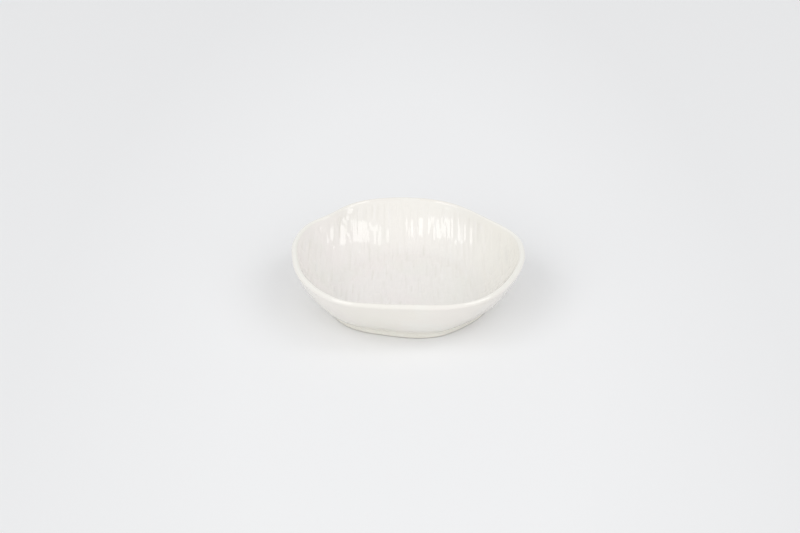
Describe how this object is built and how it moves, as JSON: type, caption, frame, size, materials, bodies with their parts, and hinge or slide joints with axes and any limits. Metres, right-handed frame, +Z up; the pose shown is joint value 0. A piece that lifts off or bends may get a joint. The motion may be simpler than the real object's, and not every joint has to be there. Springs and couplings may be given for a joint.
{
  "type": "tapas plate",
  "caption": "Small round-cornered ceramic dish with a flared wall, a flat floor, a rounded uneven lip and a low foot ring, for serving small portions.",
  "frame": {"origin": "on the surface the dish stands on, under the middle of the lip outline's bounding box", "axes": "+Z up, square to the standing face; +X to the right and -Y towards the viewer in the picture"},
  "size_m": [0.1204, 0.1204, 0.0285],
  "materials": {
    "bare_clay": "matte",
    "pearl_glaze": "gloss",
    "white_glaze": "gloss"
  },
  "bodies": {
    "root": {"dish_body": "bare_clay", "foot_ring": "bare_clay", "inner_glaze": "pearl_glaze", "outer_glaze": "white_glaze", "base_glaze": "white_glaze"}
  },
  "joints": []
}
